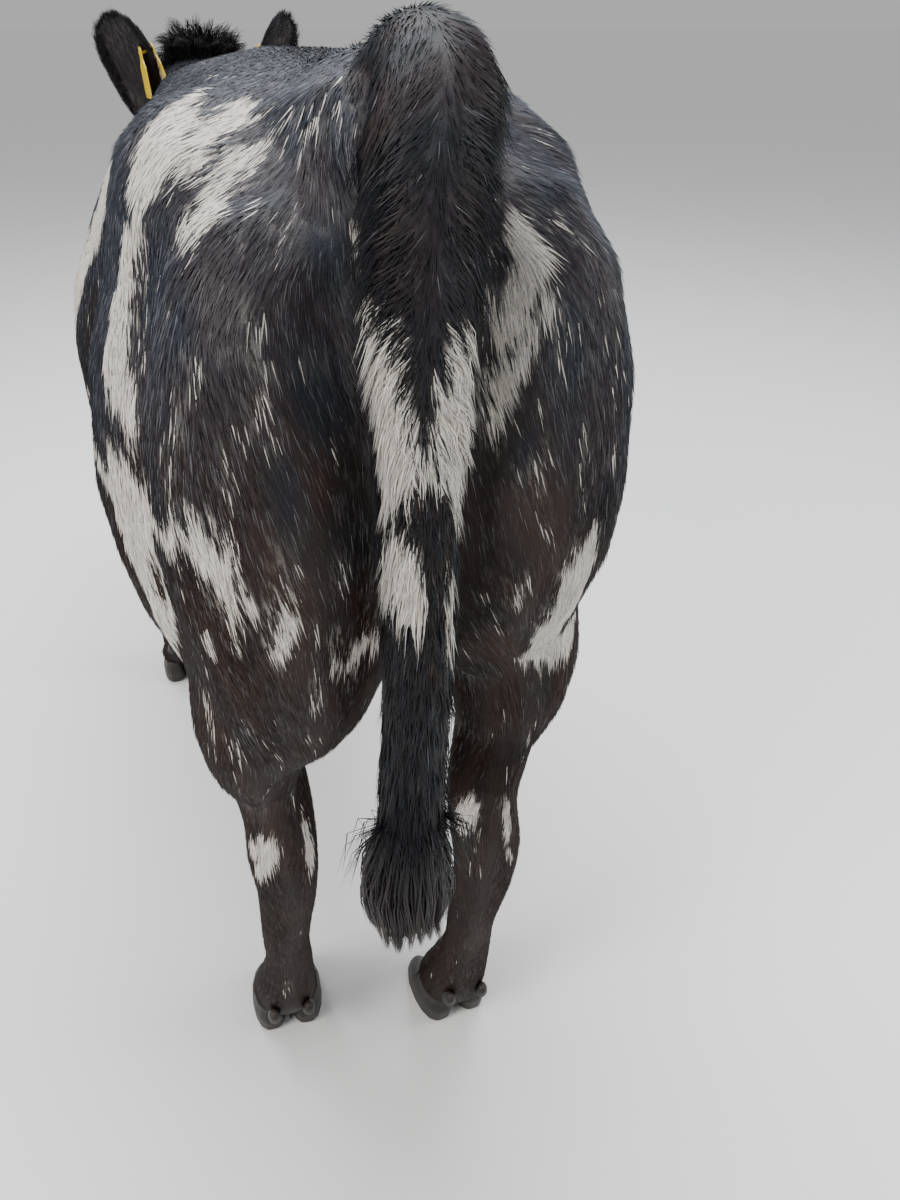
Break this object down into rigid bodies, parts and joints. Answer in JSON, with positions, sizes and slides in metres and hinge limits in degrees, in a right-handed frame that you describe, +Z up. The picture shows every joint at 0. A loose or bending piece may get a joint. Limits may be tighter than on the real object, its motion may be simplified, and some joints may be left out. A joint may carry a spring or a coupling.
{
  "type": "belgian blue heifer, standing",
  "caption": "Life-size still model of a young, heavily muscled cow standing square with hanging tail, dark coat with white patches, tagged ears.",
  "frame": {"origin": "on the floor, under the middle of the whole animal's box", "axes": "+Z up, +Y the way the animal faces, +X its right side"},
  "size_m": [0.5662, 1.938, 1.2699],
  "materials": {
    "coat": "short glossy hair, blue-black with blue-grey roan on the back and white patches",
    "tail_hair": "long black hair with white bands",
    "horn": "dark grey horn",
    "eye": "wet, very dark brown",
    "bare_skin": "pink bare skin",
    "tag": "yellow moulded plastic"
  },
  "bodies": {
    "root": {"torso": "coat", "head": "coat", "eye_right": "eye", "eye_left": "eye", "neck": "coat", "leg_hind_left": "coat", "claw_hind_left_outer": "horn", "claw_hind_left_inner": "horn", "dewclaw_hind_left_outer": "horn", "dewclaw_hind_left_inner": "horn", "leg_hind_right": "coat", "claw_hind_right_outer": "horn", "claw_hind_right_inner": "horn", "dewclaw_hind_right_outer": "horn", "dewclaw_hind_right_inner": "horn", "leg_fore_left": "coat", "claw_fore_left_outer": "horn", "claw_fore_left_inner": "horn", "dewclaw_fore_left_outer": "horn", "dewclaw_fore_left_inner": "horn", "leg_fore_right": "coat", "claw_fore_right_outer": "horn", "claw_fore_right_inner": "horn", "dewclaw_fore_right_outer": "horn", "dewclaw_fore_right_inner": "horn", "tail_dock": "tail_hair", "tail_switch": "tail_hair", "ear_right": "coat", "tag_right_stud": "tag", "tag_right_flag": "tag", "ear_left": "coat", "tag_left_stud": "tag", "tag_left_flag": "tag", "udder": "bare_skin"}
  },
  "joints": []
}
